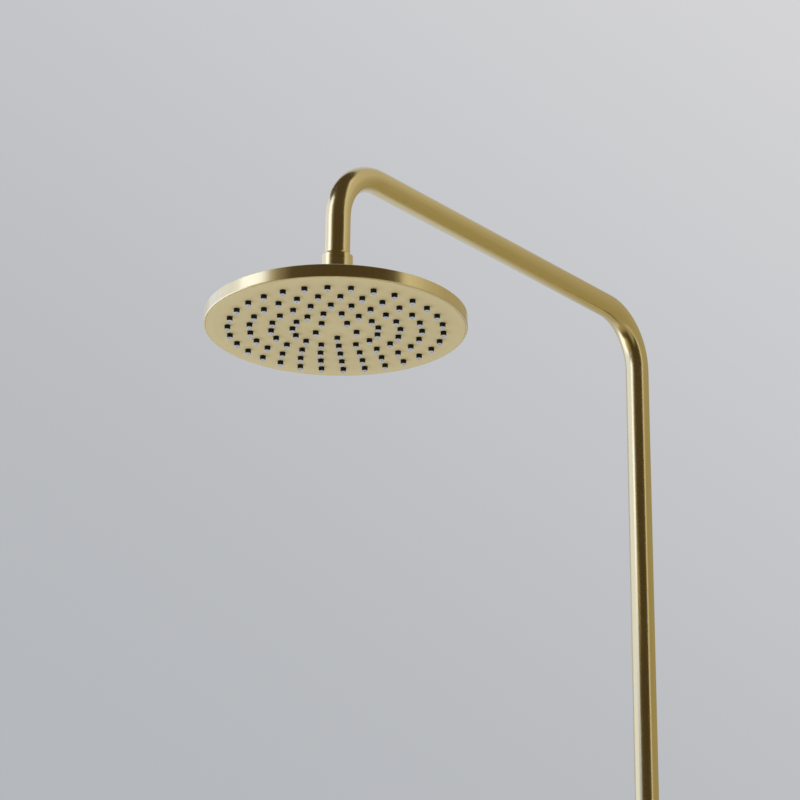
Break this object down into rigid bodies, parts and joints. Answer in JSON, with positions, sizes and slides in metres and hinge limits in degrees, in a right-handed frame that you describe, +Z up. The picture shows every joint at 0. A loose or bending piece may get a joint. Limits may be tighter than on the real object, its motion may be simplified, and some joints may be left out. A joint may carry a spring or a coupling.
{
  "type": "shower rail set",
  "caption": "Wall-fixed shower rail: bent riser and arm carrying a slim round overhead shower head on a ball joint, with a sliding hand-shower cradle and a union nut at the foot.",
  "frame": {"origin": "centre of the wall bracket's face that lies on the wall", "axes": "+X to the right for someone facing the wall, +Y into the wall, +Z up along the riser"},
  "size_m": [0.22, 0.625, 1.089],
  "materials": {
    "brushed_gold": "brushed, satin gold coating",
    "gold_face": "thin pressed steel, brushed, gold coating",
    "black_plastic": "moulded, matt",
    "grey_silicone": "soft silicone, matt",
    "black_rubber": "matt",
    "white_acetal": "moulded, smooth",
    "bare_brass": "turned, uncoated",
    "bright_steel": "machined stainless steel"
  },
  "bodies": {
    "wall_side": {"bracket_plate": "bright_steel", "bracket_cover": "brushed_gold", "bracket_ring": "brushed_gold", "ring_liner": "black_plastic", "bracket_set_screw": "bright_steel", "ring_set_screws": "bright_steel", "lower_riser_tube": "brushed_gold", "joint_sleeve": "bare_brass", "sleeve_o_rings": "black_rubber", "swivel_washer": "white_acetal", "foot_tailpiece": "bare_brass", "union_washer": "black_rubber"},
    "arm": {"riser_arm_tube": "brushed_gold", "arm_nipple": "bare_brass", "ball_connector": "brushed_gold", "flow_regulator": "white_acetal", "strainer_washer": "black_rubber"},
    "seat_lower": {"ball_seat_lower": "black_rubber"},
    "seat_upper": {"ball_seat_upper": "white_acetal"},
    "head": {"head_shell": "brushed_gold", "face_plate": "gold_face", "jet_plate": "black_plastic", "nozzle_mat": "grey_silicone", "rim_seal": "black_rubber", "socket_nut": "brushed_gold"},
    "slider_carriage": {"slider_bush": "black_plastic"},
    "slider": {"slider_body": "brushed_gold", "clamp_pad": "white_acetal", "pivot_washer": "black_plastic", "pivot_screw": "bright_steel"},
    "knob": {"lock_knob": "brushed_gold", "knob_stud": "bright_steel"},
    "cradle": {"hand_shower_cradle": "brushed_gold"},
    "foot_nut": {"union_nut": "brushed_gold"}
  },
  "joints": [
    {"name": "arm_swing", "type": "hinge", "parent": "wall_side", "child": "arm", "pos_m": [0, -0.065, 0], "axis": [0, 0, 1], "range_deg": [-75, 75]},
    {"name": "head_tilt_fore_aft", "type": "hinge", "parent": "arm", "child": "seat_lower", "pos_m": [0, -0.515, 0.431], "axis": [1, 0, 0], "range_deg": [-12, 12]},
    {"name": "head_tilt_sideways", "type": "hinge", "parent": "seat_lower", "child": "seat_upper", "pos_m": [0, -0.515, 0.431], "axis": [0, 1, 0], "range_deg": [-12, 12]},
    {"name": "head_spin", "type": "hinge", "parent": "seat_upper", "child": "head", "pos_m": [0, -0.515, 0.431], "axis": [0, 0, 1], "continuous": true},
    {"name": "slider_travel", "type": "slide", "parent": "wall_side", "child": "slider_carriage", "axis": [0, 0, 1], "range_m": [-0.265, 0.142]},
    {"name": "slider_swivel", "type": "hinge", "parent": "slider_carriage", "child": "slider", "pos_m": [0, -0.065, -0.2], "axis": [0, 0, 1], "range_deg": [-60, 60]},
    {"name": "knob_turn", "type": "hinge", "parent": "slider", "child": "knob", "pos_m": [0.024, -0.065, -0.2], "axis": [1, 0, 0], "range_deg": [0, 180]},
    {"name": "cradle_tilt", "type": "hinge", "parent": "slider", "child": "cradle", "pos_m": [-0.025, -0.065, -0.2], "axis": [1, 0, 0], "range_deg": [-50, 35]},
    {"name": "union_nut_turn", "type": "hinge", "parent": "wall_side", "child": "foot_nut", "pos_m": [0, -0.065, -0.505], "axis": [0, 0, 1], "continuous": true}
  ]
}
